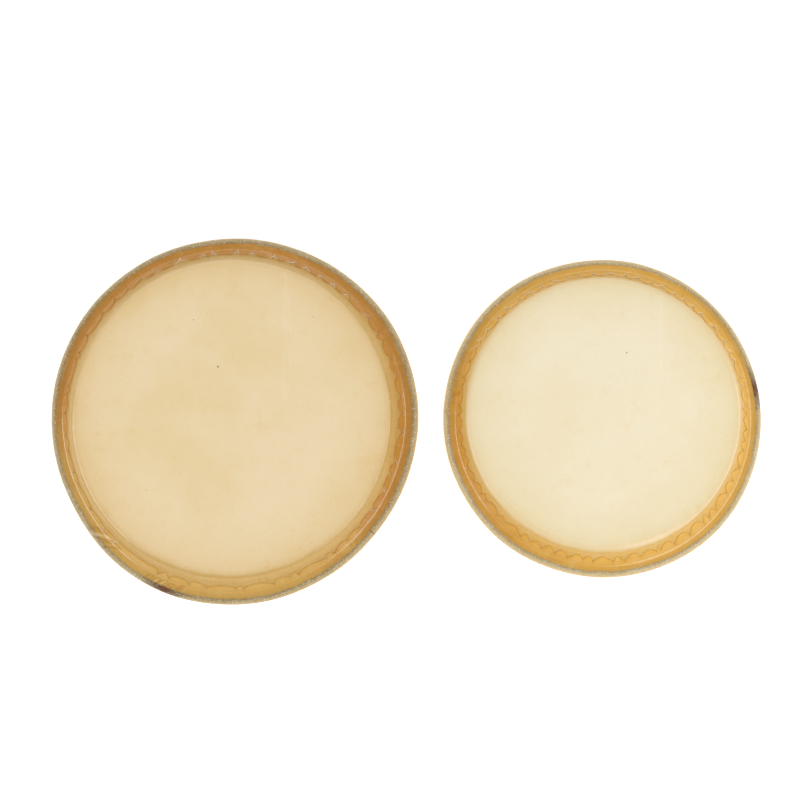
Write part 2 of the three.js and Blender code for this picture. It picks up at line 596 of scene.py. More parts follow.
def unit(turn):
    return np.array([math.cos(turn), math.sin(turn)])


def arc(centre, radius, start, end, steps):
    turn = np.linspace(start, end, max(2, round(steps)) + 1)
    return np.asarray(centre) + radius * np.stack([np.cos(turn), np.sin(turn)], axis=1)


def straight(start, end, steps):
    return np.linspace(start, end, max(2, round(steps)) + 1)


def run_length(points):
    return np.concatenate([[0], np.cumsum(np.linalg.norm(np.diff(points, axis=0), axis=1))])


# --- Geometry trees ---

# How hand-cut tabs differ: the share of a notch's depth that may be left uncut, how far a tab's
# tip leans, how much its roundness varies, and the roughness of the cut.
SPARED = 0.3
LEANING = 0.3
ROUNDNESS_SPREAD = 0.5
RAGGED = 0.4 * MM


def swept_hide():
    """Turns a section's points round the head's axis, closely stepped at the notches, and cuts the
    tabs of the trimmed edge."""
    recipe = Recipe(
        "swept_hide",
        {
            "Tabs": 56,
            "Tab Steps": 12,
            "Flap Width": 0.007,
            "Notch Share": 0.7,
            "Roundness": 3.0,
            "Unevenness": 0.3,
            "Collar Normal": 0.5,
            "Plain From": 0.0,
            "Plain To": 0.0,
            "Longer Side": (0.0, 0.0, 0.0),
            "Centre": (0.0, 0.0, 0.0),
            "Seed": 3,
        },
    )
    n = recipe.nodes
    add = n.add
    section = recipe["Geometry"]
    tabs = recipe["Tabs"]
    rows = add("GeometryNodeAttributeDomainSize", {}, {"Geometry": section})["Point Count"]
    columns = tabs * recipe["Tab Steps"]
    sheet = add("GeometryNodeMeshGrid", {}, {"Vertices X": columns + 1, "Vertices Y": rows})

    index = add("GeometryNodeInputIndex")
    column = (index / rows).math("FLOOR")
    row = index - column * rows
    tab = (column / recipe["Tab Steps"]).math("FLOOR")
    across = (column - tab * recipe["Tab Steps"]) / recipe["Tab Steps"] * math.pi
    place = across.math("COSINE") * -1.0  # from -1 at one notch to 1 at the next
    share = (place + 1.0) / 2.0

    def wander(which, offset):
        whole = which.math("MODULO", tabs)
        sockets = {"Min": -1.0, "Max": 1.0, "ID": whole, "Seed": recipe["Seed"] + offset}
        return add("FunctionNodeRandomValue", {"data_type": "FLOAT"}, sockets)

    longer_side = n.axes(recipe["Longer Side"])

    def longer(turn):
        """How much longer than usual the flap is in a direction."""
        return turn.math("COSINE") * longer_side["X"] + turn.math("SINE") * longer_side["Y"]

    def notch(which):
        """The direction and the depth of the cut before a tab."""
        turn = (which + wander(which, 0) * recipe["Unevenness"]) / tabs * math.tau
        plain = (turn > recipe["Plain From"]) * (turn < recipe["Plain To"])
        spared = (wander(which, 7) + 1.0) * SPARED * recipe["Unevenness"]
        depth = recipe["Flap Width"] * recipe["Notch Share"] * (1.0 - spared) + longer(turn)
        return turn, depth * (1.0 - plain)

    turn_before, depth_before = notch(tab)
    turn_after, depth_after = notch(tab + 1.0)
    turn = turn_before + (turn_after - turn_before) * share
    depth = depth_before + (depth_after - depth_before) * share
    leaning = place + (1.0 - place * place) * wander(tab, 17) * LEANING
    power = recipe["Roundness"] * (1.0 + wander(tab, 13) * ROUNDNESS_SPREAD)
    hollow = leaning.math("ABSOLUTE") ** power
    ragged = n.noise(add("GeometryNodeInputIndex"), 0.37, 1.0)

    def sampled(value, kind):
        settings = {"data_type": kind, "domain": "POINT"}
        sockets = {"Geometry": section, "Value": value, "Index": row}
        return add("GeometryNodeSampleIndex", settings, sockets)

    def carried(name):
        settings = {"data_type": "FLOAT"}
        return sampled(add("GeometryNodeInputNamedAttribute", settings, {"Name": name}), "FLOAT")

    flap = carried("flap")
    width = recipe["Flap Width"] + longer(turn)
    cut = (depth * hollow - longer(turn) + (ragged - 0.5) * RAGGED) * flap
    point = n.axes(sampled(add("GeometryNodeInputPosition"), "FLOAT_VECTOR"))
    radius = point["X"] + cut * recipe["Collar Normal"].math("SINE")
    height = point["Z"] - cut * recipe["Collar Normal"].math("COSINE")
    sockets = {"X": radius * turn.math("COSINE"), "Y": radius * turn.math("SINE"), "Z": height}
    spun = n.vector_math("ADD", add("ShaderNodeCombineXYZ", {}, sockets), recipe["Centre"])
    stored = add("GeometryNodeSetPosition", {}, {"Geometry": sheet, "Position": spun})
    values = {name: carried(name) for name in ("along", "tip", "lift_r", "lift_z")}
    values["flap"] = flap
    values["tab"] = tab.math("MODULO", tabs)
    values["edge"] = (1.0 - flap) * (width - depth * hollow) / MM
    values["notch"] = hollow
    for name, value in values.items():
        settings = {"data_type": "FLOAT", "domain": "POINT"}
        sockets = {"Geometry": stored, "Name": name, "Value": value}
        stored = add("GeometryNodeStoreNamedAttribute", settings, sockets)
    closed = add("GeometryNodeMergeByDistance", {}, {"Geometry": stored, "Distance": 1e-5})
    recipe.finish(add("GeometryNodeSetShadeSmooth", {}, {"Geometry": closed}))
    return recipe


def drawn_hoop():
    """A round rod bent to a ring along its host's points, thicker at the butt weld."""
    recipe = Recipe(
        "drawn_hoop",
        {
            "Rod Radius": 0.0024,
            "Weld Turn": 0.0,
            "Weld Spread": 0.035,
            "Weld Swell": 0.07,
            "Centre": (0.0, 0.0, 0.0),
        },
    )
    n = recipe.nodes
    add = n.add
    path = add("GeometryNodeMeshToCurve", {}, {"Mesh": recipe["Geometry"]})
    position = add("GeometryNodeInputPosition")
    place = n.axes(n.vector_math("SUBTRACT", position, recipe["Centre"]))
    turn = place["Y"].math("ARCTAN2", place["X"])
    offset = (turn - recipe["Weld Turn"]).math("WRAP", math.pi, -math.pi)
    weld = n.hump(offset, 0.0, recipe["Weld Spread"])
    grain = n.noise(position, 90.0)
    radius = 1.0 + weld * recipe["Weld Swell"] + (grain - 0.5) * 0.02
    sockets = {"Geometry": path, "Name": "weld", "Value": weld}
    path = add("GeometryNodeStoreNamedAttribute", {"domain": "POINT"}, sockets)
    sockets = {"Resolution": 20, "Radius": recipe["Rod Radius"]}
    rod = add("GeometryNodeCurvePrimitiveCircle", {}, sockets)
    sockets = {"Curve": path, "Profile Curve": rod, "Scale": radius}
    swept = add("GeometryNodeCurveToMesh", {}, sockets)
    recipe.finish(add("GeometryNodeSetShadeSmooth", {}, {"Geometry": swept}))
    return recipe


def frayed_edge():
    """Short tapered hide fibres scattered along its host's points."""
    recipe = Recipe(
        "frayed_edge", {"Count": 260, "Fibre Length": 0.0014, "Fibre Radius": 0.00006, "Seed": 11}
    )
    add = recipe.nodes.add
    path = add("GeometryNodeMeshToCurve", {}, {"Mesh": recipe["Geometry"]})
    spaced = add("GeometryNodeResampleCurve", {}, {"Curve": path, "Count": recipe["Count"]})

    def scatter(kind, low, high, offset):
        sockets = {"Min": low, "Max": high, "Seed": recipe["Seed"] + offset}
        return add("FunctionNodeRandomValue", {"data_type": kind}, sockets)

    shift = scatter("FLOAT_VECTOR", (-0.0006,) * 3, (0.0006,) * 3, 0)
    spots = add("GeometryNodeSetPosition", {}, {"Geometry": spaced, "Offset": shift})
    sockets = {
        "Vertices": 5,
        "Side Segments": 3,
        "Radius Top": 0.0,
        "Radius Bottom": recipe["Fibre Radius"],
        "Depth": recipe["Fibre Length"],
    }
    fibre = add("GeometryNodeMeshCone", {}, sockets)
    sockets = {
        "Points": spots,
        "Instance": fibre,
        "Rotation": scatter("FLOAT_VECTOR", (0.9, -0.5, 0.0), (1.9, 0.5, math.tau), 3),
        "Scale": scatter("FLOAT_VECTOR", (0.6, 0.6, 0.3), (1.4, 1.4, 1.3), 5),
    }
    grown = add("GeometryNodeInstanceOnPoints", {}, sockets)
    recipe.finish(grown)
    return recipe


# --- What the hands and the drying did ---

# Directions are degrees anticlockwise from +X.

# Out of round: direction, how far out (mm), and spread (degrees).
OUT_OF_ROUND = {
    "large": [(20, 1.25, 28), (135, 0.9, 32), (204, -1.3, 20), (252, 1.15, 22), (285, 0.3, 20),
              (318, -0.5, 16), (350, 0.5, 18)],
    "small": [(105, -0.7, 22), (160, -0.9, 26), (232, 0.9, 16), (265, 1.0, 24), (308, 1.3, 28)],
}
# Where tabs have curled away from the collar: direction, curl (mm), spread (degrees).
CURLS = {
    "large": [(56, 1.0, 16), (95, 0.5, 30), (225, 0.5, 5), (330, 0.3, 20)],
    "small": [(88, 0.9, 26), (35, 0.6, 30), (138, 1.0, 12)],
}
# Puckers across the crease and flap: direction, height (mm), width and slant (degrees), and the
# shares of the way from the rod's top to the trimmed edge between which they run.
PLEATS = {
    "large": [(243.8, 0.4, 0.8, 3, -0.15, 0.5), (246.3, 0.5, 0.7, 3, -0.15, 0.5),
              (248.7, 0.5, 0.8, 4, -0.1, 0.55), (251.3, 0.45, 0.7, 4, -0.15, 0.5),
              (254.3, 0.3, 0.9, 4, 0.0, 0.6), (221.0, 0.3, 1.3, 5, 0.0, 0.9),
              (224.0, 0.5, 1.7, 7, -0.25, 0.9), (227.8, 0.4, 1.4, 6, -0.25, 0.8)],
    "small": [(8, 0.15, 0.8, 2, 0.0, 0.6), (171, 0.2, 0.8, -2, 0.0, 0.9)],
}
# Specks in each face: place from the middle (mm), size (mm) and strength.
SPECKS = {
    "large": [(-24.2, 62, 0.7, 0.5), (-8.5, 32, 0.9, 0.6), (51.6, 63.9, 0.7, 0.35),
              (-52, -46, 0.5, 0.3), (22, -72, 0.45, 0.3)],
    "small": [(14.8, 38.7, 0.75, 0.65), (-34, -22, 0.5, 0.3), (-12, 60, 0.4, 0.25)],
}
# Directions of dark cross marks on the hoop's outer side.
NICKS = {"large": [321], "small": []}

CURL_LIFT = 0.18  # how far a curled tab's tip leaves the collar, as a share of its curl
FLAP_RIPPLE = 0.05 * MM
SLOW_WAVER = 0.25 * MM
QUICK_WAVER = 0.07 * MM
FACE_DIPS = 0.10 * MM


def turned_from(turn, direction):
    """Signed angle from a direction, at most half a turn."""
    return (turn - direction + math.pi) % math.tau - math.pi


def bell(offset, half_width):
    return np.exp(-((offset / half_width) ** 2))


def bumps(turn, places):
    """The sum of smooth bumps: each is (direction, height, spread) in degrees and millimetres."""
    total = np.zeros_like(turn)
    for direction, height, spread in places:
        away = turned_from(turn, math.radians(direction))
        total += height * MM * bell(away, math.radians(spread))
    return total


def ripple(turn, rng, low, high, count):
    """An uneven wave round the head, from -1 to 1, made of a few whole numbers of waves."""
    total = np.zeros_like(turn)
    for waves in rng.integers(low, high, count):
        total += np.sin(waves * turn + rng.uniform(0, math.tau))
    return total / count


def read(mesh, name):
    values = np.zeros(len(mesh.vertices))
    mesh.attributes[name].data.foreach_get("value", values)
    return values


def places_of(mesh):
    places = np.zeros(len(mesh.vertices) * 3)
    mesh.vertices.foreach_get("co", places)
    return places.reshape(-1, 3)


def smooth(share):
    share = np.clip(share, 0, 1)
    return share * share * (3 - 2 * share)


def looseness(section, height):
    """How freely the hide follows the hoop: 1 at the hoop, 0 from the bearing bend up."""
    low = section.rod_height + section.wrap_radius
    return 1 - smooth((height - low) / (section.bend[1] - low))


def age(piece, section, seed):
    """Moves a swept hide's points as drying and hand work would."""
    mesh = piece.data
    rng = np.random.default_rng(seed)
    places = places_of(mesh)
    flat = places[:, :2] - np.array(section.centre)[:2]
    turn = np.arctan2(flat[:, 1], flat[:, 0])
    radial = np.stack([np.cos(turn), np.sin(turn)], axis=1)
    flap, tab = read(mesh, "flap"), read(mesh, "tab")
    marks = section.landmarks()
    along = read(mesh, "along") * MM
    free = looseness(section, places[:, 2])

    tab_curl = rng.uniform(0, 1, int(tab.max()) + 1)[tab.astype(int)] ** 2
    curl = bumps(turn, CURLS[section.name]) * (0.5 + 0.7 * tab_curl)
    lift = CURL_LIFT * curl * smooth(flap) ** 3
    lift += (ripple(turn, rng, 20, 90, 9) + 0.3) * FLAP_RIPPLE * smooth(flap * 1.3)

    pleats = np.zeros_like(turn)
    reach = (along - marks["top"]) / (marks["end"] - marks["top"])
    for direction, height, width, slant, start, end in PLEATS[section.name]:
        middle = math.radians(direction) + math.radians(slant) * (reach - 0.5)
        extent = smooth((reach - start) / 0.12) * smooth((end - reach) / 0.2)
        ridge = bell(turned_from(turn, middle), math.radians(width)) * extent
        lift += height * MM * ridge
        pleats = np.maximum(pleats, min(height / 0.5, 1) * ridge)

    waver = ripple(turn, rng, 3, 14, 6) * SLOW_WAVER + ripple(turn, rng, 30, 120, 8) * QUICK_WAVER
    outward = (bumps(turn, OUT_OF_ROUND[section.name]) + waver) * free
    dips = FACE_DIPS * np.abs(np.sin(places[:, 0] * 61 + 1) * np.cos(places[:, 1] * 47 + seed))
    places[:, :2] += radial * (outward + read(mesh, "lift_r") * lift)[:, None]
    places[:, 2] += read(mesh, "lift_z") * lift - dips * (1 - free)
    mesh.vertices.foreach_set("co", places.ravel())
    mesh.update()
    for name, value in (("curl", curl / MM), ("pleat", pleats)):
        mesh.attributes.new(name, "FLOAT", "POINT").data.foreach_set("value", value)


def facing_out(piece):
    """Turns a closed mesh's faces round if they point inwards."""
    mesh = piece.data
    mesh.calc_loop_triangles()
    corners = np.zeros(len(mesh.loop_triangles) * 3, int)
    mesh.loop_triangles.foreach_get("vertices", corners)
    a, b, c = places_of(mesh)[corners.reshape(-1, 3)].transpose(1, 0, 2)
    if np.einsum("ij,ij->i", a, np.cross(b, c)).sum() < 0:
        mesh.flip_normals()


# --- Materials ---


def new_material(name):
    material = bpy.data.materials.new(name)
    material.use_nodes = True
    tree = material.node_tree
    tree.nodes.clear()
    nodes = Nodes(tree)
    end = tree.nodes.new("ShaderNodeOutputMaterial")
    return material, nodes, end


def surface(nodes, end, settings):
    """The one shader of a material, joined to its output."""
    shader = nodes.add("ShaderNodeBsdfPrincipled", {}, settings)
    nodes.tree.links.new(shader.output, end.inputs["Surface"])


def attribute(nodes, name):
    return nodes.add("ShaderNodeAttribute", {"attribute_name": name})["Fac"]


class HideLook:
    """The material of one hide: cloudy and pale on the face, amber where it is steep or doubled, and
    greyish where the rod lies close behind it. Each layer is a method that changes the tone."""

    CLOUD_TINT = (0.965, 0.925, 0.80)
    PORE_TINT = (0.92, 0.82, 0.60)
    AMBER_TINT = (0.80, 0.68, 0.50)
    PIT_TINT = (0.55, 0.52, 0.46)
    VEIN = (0.90, 0.83, 0.66)
    # Painted highlight on the tops of the puckers.
    PLEAT_HIGHLIGHT = (0.86, 0.72, 0.44)
    GREY_FLECK = (0.72, 0.68, 0.56)
    SOOT = (0.13, 0.10, 0.06)
    # Painted shade along the trimmed edge, and the pale raw cut with a painted highlight where it
    # curls up.
    EDGE_SHADE = (0.36, 0.17, 0.05)
    PALE_CUT_GLINT = (0.93, 0.83, 0.64)

    def __init__(self, section):
        self.name = section.name
        self.hide = section.hide
        self.marks = {name: value / MM for name, value in section.landmarks().items()}
        self.material, self.nodes, self.end = new_material(f"{section.name}_rawhide")
        self.locate(section)
        self.add_noises(section)
        self.add_zones()

    def locate(self, section):
        """Places in space, from the head's middle, and what the mesh carries. Lengths along the
        section and from the trimmed edge are in millimetres."""
        n = self.nodes
        self.place = n.add("ShaderNodeTexCoord")["Object"]
        middle = (section.centre.x, section.centre.y, 0.0)
        axes = n.axes(n.vector_math("SUBTRACT", self.place, middle))
        self.x, self.y = axes["X"], axes["Y"]
        self.radius = (self.x * self.x + self.y * self.y).math("SQRT").math("MAXIMUM", MM)
        self.along = attribute(n, "along")
        self.edge = attribute(n, "edge")
        self.notch = attribute(n, "notch")
        self.curl = attribute(n, "curl")
        self.pleat = attribute(n, "pleat")

    def add_noises(self, section):
        """Some noises lie in space. Others follow the hide, round the head and along its section,
        in centimetres."""
        n, place = self.nodes, self.place
        round_x, round_y = (axis / self.radius * (section.hoop[0] * 100) for axis in (self.x, self.y))
        sockets = {"X": round_x, "Y": round_y, "Z": self.along * 0.1}
        wound = n.add("ShaderNodeCombineXYZ", {}, sockets)
        self.cloud = n.noise(place, 17.0, 4.0, 0.6)
        self.drift = n.noise(place, 60.0, 3.0, 0.6)
        self.blotch = n.noise(place, 160.0, 3.0, 0.7)
        self.grain = n.noise(place, 700.0, 3.0, 0.6)
        self.fine = n.noise(place, 2600.0, 2.0, 0.6)
        drawn = n.vector_math("MULTIPLY", place, (1.0, 0.06, 1.0))
        self.drawn = n.noise(drawn, 420.0, 2.0)
        self.smear = n.noise(wound, 1.1, 4.0, 0.65)
        upward = n.vector_math("MULTIPLY", wound, (1.0, 1.0, 0.16))
        self.streaks = n.noise(upward, 3.2, 4.0, 0.7)
        onward = n.vector_math("MULTIPLY", wound, (0.12, 0.12, 1.0))
        self.bands = n.noise(onward, 5.0, 3.0, 0.6)
        self.flecks = n.noise(wound, 10.0, 4.0, 0.75)

    def add_zones(self):
        """Where each layer shows, from 0 to 1."""
        n, marks, along = self.nodes, self.marks, self.along
        self.on_face = n.step(along, marks["bend"] - 2, marks["bend"] + 1, 1.0, 0.0)
        self.past_face = n.step(along, marks["bend"], marks["collar"])
        self.on_flap = n.step(along, marks["crease"], marks["flap"])
        past_limb = n.step(along, marks["limb"] - 1, marks["limb"] + 2)
        self.over_rod = past_limb * n.step(along, marks["top"] + 0.6, marks["top"] - 0.2)

    def along_section(self):
        """The tone along the section. The flap is lighter on one side, as painted light, and darker on
        the rest, as painted shade. The pale face's edge wavers and is a little off the middle."""
        n, hide, marks = self.nodes, self.hide, self.marks
        stray = (self.x * (hide.stray[0] / MM) + self.y * (hide.stray[1] / MM)) / self.radius
        stray = stray * n.step(self.along, marks["collar"] + 6, marks["collar"])
        wavering = (self.drift - 0.5) * 1.1 + (self.smear - 0.5) * 1.6
        wavering = wavering + (self.grain - 0.5) * self.on_face * 3.0
        shifted = (self.along - stray + wavering) / marks["end"]
        # Two ramps of one hide, the flap in painted shade and in painted light, blended by which way
        # the point faces.
        golden, dark = (
            n.add("ShaderNodeValToRGB", {"stops": stops_of(marks, hide, tone)}, {"Fac": shifted})
            for tone in (hide.golden, hide.flap)
        )
        toward = unit(hide.gold)
        facing = (self.x * toward[0] + self.y * toward[1]) / self.radius
        limit = math.cos(hide.gold_spread)
        side = n.step(facing + (self.smear - 0.5) * 0.7, limit - 0.28, limit + 0.28)
        return n.mix(side, dark, golden)

    def face_marks(self, tone):
        """Clouds, follicles and a few long marks on the face."""
        n, on_face, clouds = self.nodes, self.on_face, self.hide.clouds
        cloudy = n.tinted(tone, self.CLOUD_TINT)
        tone = n.mix(n.step(self.cloud, 0.40, 0.70) * on_face * (0.9 * clouds), tone, cloudy)
        tone = n.mix(n.step(self.drift, 0.58, 0.76) * on_face * (0.6 * clouds), tone, cloudy)
        pores = n.tinted(tone, self.PORE_TINT)
        clusters = n.step(self.drift, 0.42, 0.62, 0.25, 1.0)
        tone = n.mix(n.step(self.grain, 0.55, 0.70) * clusters * on_face * 0.4, tone, pores)
        tone = n.mix(n.step(self.blotch, 0.50, 0.70) * clusters * on_face * 0.2, tone, pores)
        vein = n.hump(self.x / MM + (self.drift - 0.5) * 4.0, 36.0, 5.0)
        vein = vein * n.step(self.y, 0.0, 0.03) * on_face
        tone = n.mix(vein * n.step(self.drawn, 0.40, 0.65) * 0.22, tone, self.VEIN)
        return n.mix(vein * n.step(self.drawn, 0.42, 0.25) * 0.2, tone, pores)

    def collar_marks(self, tone):
        """Streaks up the collar and flap, bands along them, a darker trimmed edge and puckers with
        painted shade on their flanks and a painted highlight on their tops.
        """
        n, past_face = self.nodes, self.past_face
        amber = n.tinted(tone, self.AMBER_TINT)
        pale = n.mix(0.4, tone, tuple(self.hide.rim))
        tone = n.mix(n.step(self.streaks, 0.52, 0.78) * past_face * 0.45, tone, amber)
        tone = n.mix(n.step(self.streaks, 0.46, 0.28) * past_face * 0.35, tone, pale)
        tone = n.mix(n.step(self.bands, 0.54, 0.72) * past_face * 0.40, tone, amber)
        tone = n.mix(n.step(self.bands, 0.46, 0.30) * past_face * 0.35, tone, pale)
        tone = n.mix(n.step(self.edge, 2.2, 0.3) * self.on_flap * 0.25, tone, amber)
        # Painted shade on the puckers' flanks, and a painted highlight on their tops.
        tone = n.mix(n.hump(self.pleat, 0.4, 0.35) * 0.8, tone, amber)
        return n.mix(n.step(self.pleat, 0.7, 1.0) * 0.35, tone, self.PLEAT_HIGHLIGHT)

    def rod_marks(self, tone):
        """Grey-white flecks and dark pits where the hide is drawn tight over the rod."""
        n, over_rod = self.nodes, self.over_rod
        tone = n.mix(n.step(self.flecks, 0.52, 0.66) * over_rod * 0.7, tone, self.GREY_FLECK)
        pits = n.tinted(tone, self.PIT_TINT)
        return n.mix(n.step(self.flecks, 0.46, 0.34) * over_rod * 0.6, tone, pits)

    def beside(self, direction):
        """Distance along the hoop from a direction, in millimetres, and far on the other side."""
        out, side = unit(direction), unit(direction + math.pi / 2)
        far = (self.x * out[0] + self.y * out[1] < 0.0) * 1000.0
        return ((self.x * side[0] + self.y * side[1]) / MM).math("ABSOLUTE") + far

    def burns(self, tone):
        """The weld's burn, with grey flanks and a brown middle, and dark marks across the rod."""
        n, over_rod, burn = self.nodes, self.over_rod, tuple(self.hide.burn)
        near = self.beside(self.hide.weld) + (self.flecks - 0.5) * 26.0 + (self.streaks - 0.5) * 8.0
        tone = n.mix(n.step(near, 18.0, 8.0) * over_rod * 0.62, tone, self.SOOT)
        tone = n.mix(n.step(near, 7.5, 2.0) * over_rod * 0.85, tone, burn)
        for direction in NICKS[self.name]:
            nick = n.step(self.beside(math.radians(direction)), 0.5, 0.1)
            tone = n.mix(nick * over_rod * 0.75, tone, burn)
        return tone

    def specks(self, tone):
        n = self.nodes
        for speck_x, speck_y, size, strength in SPECKS[self.name]:
            away_x, away_y = self.x / MM - speck_x, self.y / MM - speck_y
            distance = (away_x * away_x + away_y * away_y).math("SQRT") + (self.grain - 0.5) * size
            speck = n.step(distance, size * 0.4, size, strength, 0.0) * self.on_face
            tone = n.mix(speck, tone, tuple(self.hide.burn))
        return tone

    def cut_edge(self, tone):
        """A thin brown line of painted shade along the trimmed edge. Where the edge has curled up, its
        pale raw cut with a painted highlight.
        """
        n = self.nodes
        curled = n.step(self.curl, 0.08, 0.35)
        # Painted shade: a brown line along the trimmed edge where it lies flat.
        rim = n.step(self.edge, 0.7, 0.15) * self.on_flap * (1.0 - curled)
        tone = n.mix(rim * 0.3, tone, self.EDGE_SHADE)
        # The pale raw cut with a painted highlight, where the edge curls up beside the notches.
        pale_cut_glint = n.step(self.edge, 1.0, 0.35) * self.on_flap * curled * n.step(self.notch, 0.05, 0.5)
        return n.mix(pale_cut_glint * 0.7, tone, self.PALE_CUT_GLINT)

    def finish(self, tone):
        """Gives the surface its tone. It is licked smooth at the face's rim and in the crease."""
        n, marks, along = self.nodes, self.marks, self.along
        rim_shine = n.hump(along, marks["bend"] - 2, 8.0) * 0.6
        crease_shine = n.step(along, marks["top"], marks["crease"])
        crease_shine = crease_shine * n.step(along, marks["flap"] + 2.5, marks["flap"])
        glossy = rim_shine + crease_shine
        rough = 0.46 - glossy * 0.2 + (self.grain - 0.5) * 0.16 + (self.cloud - 0.5) * 0.1
        height = self.grain * 0.5 + self.fine * 0.3
        height = height + self.streaks * self.past_face * 1.2 + self.flecks * self.over_rod * 1.6
        settings = {"Height": height, "Strength": 0.35, "Distance": 0.00012}
        bump = n.add("ShaderNodeBump", {}, settings)
        surface(n, self.end, {"Base Color": tone, "Roughness": rough, "Normal": bump,
                              "Coat Weight": glossy * 0.95 + 0.03, "Coat Roughness": 0.15,
                              "Specular IOR Level": 0.36})


def rawhide(section):
    look = HideLook(section)
    tone = look.along_section()
    layers = (look.face_marks, look.collar_marks, look.rod_marks, look.burns, look.specks,
              look.cut_edge)
    for layer in layers:
        tone = layer(tone)
    look.finish(tone)
    return look.material


def stops_of(marks, hide, doubled):
    """Colour stops along the section, as shares of its whole length."""
    face, rim, band, steel, doubled = (
        np.array(c) for c in (hide.face, hide.rim, hide.band, hide.steel, doubled)
    )
    boundary, fade = marks["bend"] + hide.rim_shift / MM, hide.fade / MM
    single = band * 0.7 + doubled * 0.3
    limb = single * 0.65 + steel * 0.35
    stops = [
        (0.0, face),
        (boundary - 34, face),
        (boundary - 13, face * 0.45 + rim * 0.55),
        (boundary - fade, rim),
        (boundary - fade * 0.3, rim * 0.6 + band * 0.4),
        (boundary + 0.3, band * 0.92),
        (boundary + 2.0, band),
        (marks["collar"] + 3, band * 0.96),
        (marks["collar"] + 7, single * 0.94),
        (marks["wrap"] + 2, single * 0.9),
        (marks["limb"] - 3, limb),
        (marks["limb"] + 1.3, limb * 1.05),
        (marks["limb"] + 2.4, steel * 1.1),
        (marks["top"] - 1.4, steel * 0.95),
        # Painted shade: a dark line where the hide leaves the rod's top, and a darker flap just past
        # it over the hollow.
        (marks["top"] - 0.3, steel * 0.62),
        (marks["top"] + 0.6, doubled * 0.88),
        (marks["crease"] + 0.8, doubled * 1.08),
        (marks["flap"] - 0.5, doubled * 1.06),
        (marks["flap"] + 1.0, doubled * 1.04),
        (marks["end"], doubled * 1.12),
    ]
    return [(place / marks["end"], tuple(np.clip(value, 0, 1))) for place, value in stops]


def hoop_steel():
    """Drawn steel rod, dull, with fine lines and straw-to-blue heat tint at the weld."""
    material, n, end = new_material("hoop_steel")
    place = n.add("ShaderNodeTexCoord")["Object"]
    weld = attribute(n, "weld")
    dust = n.noise(place, 220.0, 4.0, 0.65)
    scratch = n.noise(place, 1500.0, 2.0)
    steel = n.mix(n.step(dust, 0.4, 0.7), (0.36, 0.35, 0.32), (0.22, 0.20, 0.17))
    stops = [(0.0, (0.36, 0.35, 0.32)), (0.35, (0.42, 0.28, 0.12)), (0.6, (0.16, 0.08, 0.10)),
             (0.8, (0.10, 0.11, 0.2)), (1.0, (0.07, 0.06, 0.06))]
    tint = n.add("ShaderNodeValToRGB", {"stops": stops}, {"Fac": weld + (dust - 0.5) * 0.3})
    steel = n.mix(n.step(weld, 0.02, 0.3), steel, tint)
    bump = n.add("ShaderNodeBump", {}, {"Height": scratch + dust, "Strength": 0.2, "Distance": 5e-5})
    surface(n, end, {"Base Color": steel, "Roughness": 0.38 + dust * 0.3, "Normal": bump,
                     "Metallic": 0.9})
    return material


def hide_fibre():
    material, n, end = new_material("hide_fibre")
    place = n.add("ShaderNodeTexCoord")["Object"]
    tone = n.noise(place, 400.0, 2.0)
    fibre = n.mix(n.step(tone, 0.35, 0.65), (0.82, 0.68, 0.48), (0.62, 0.42, 0.20))
    surface(n, end, {"Base Color": fibre, "Roughness": 0.6 + tone * 0.2})
    return material


def floor_paper():
    material, n, end = new_material("floor_paper")
    place = n.add("ShaderNodeTexCoord")["Object"]
    tooth = n.noise(place, 900.0, 3.0)
    paper = n.mix(tooth, (0.90, 0.90, 0.90), (0.93, 0.93, 0.93))
    surface(n, end, {"Base Color": paper, "Roughness": 0.9, "Emission Color": (1, 1, 1, 1),
                     "Emission Strength": 0.45})
    return material


# --- Pieces ---

HEADS = ("large", "small")
HOOP_POINTS = 360


def section_of(name, scene):
    return Section(name, scene.head_sizes, getattr(scene, f"{name}_hide"))


def closed_line(name, points):
    mesh = bpy.data.meshes.new(name)
    count = len(points)
    mesh.from_pydata(points.tolist(), [(i, (i + 1) % count) for i in range(count)], [])
    return mesh


class DRUMHEADS_OT_hoops(Operator):
    """Make the two steel flesh hoops"""

    bl_idname = "drumheads.hoops"
    bl_label = "Flesh Hoops"

    def execute(self, context):
        recipe = drawn_hoop()
        steel = hoop_steel()
        for name in HEADS:
            section = section_of(name, context.scene)
            centre = (section.centre.x, section.centre.y, section.rod_height)
            values = {
                "Rod Radius": section.sizes.rod / 2,
                "Weld Turn": section.hide.weld,
                "Centre": centre,
                "Material": steel,
            }
            hoop = recipe.make(f"{name}_hoop_rod", self.ring_path(section), values)
            facing_out(hoop)
            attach(hoop, f"{name}_head")
            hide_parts(f"{name}_flesh_hoop")
        return {"FINISHED"}

    @staticmethod
    def ring_path(section):
        """The rod's middle line, out of round as the hide on it is."""
        turn = np.linspace(0, math.tau, HOOP_POINTS, endpoint=False)
        radius = section.hoop[0] + bumps(turn, OUT_OF_ROUND[section.name])
        x = section.centre.x + radius * np.cos(turn)
        y = section.centre.y + radius * np.sin(turn)
        points = np.stack([x, y, np.full(HOOP_POINTS, section.rod_height)], axis=1)
        return closed_line(f"{section.name}_ring_path", points)


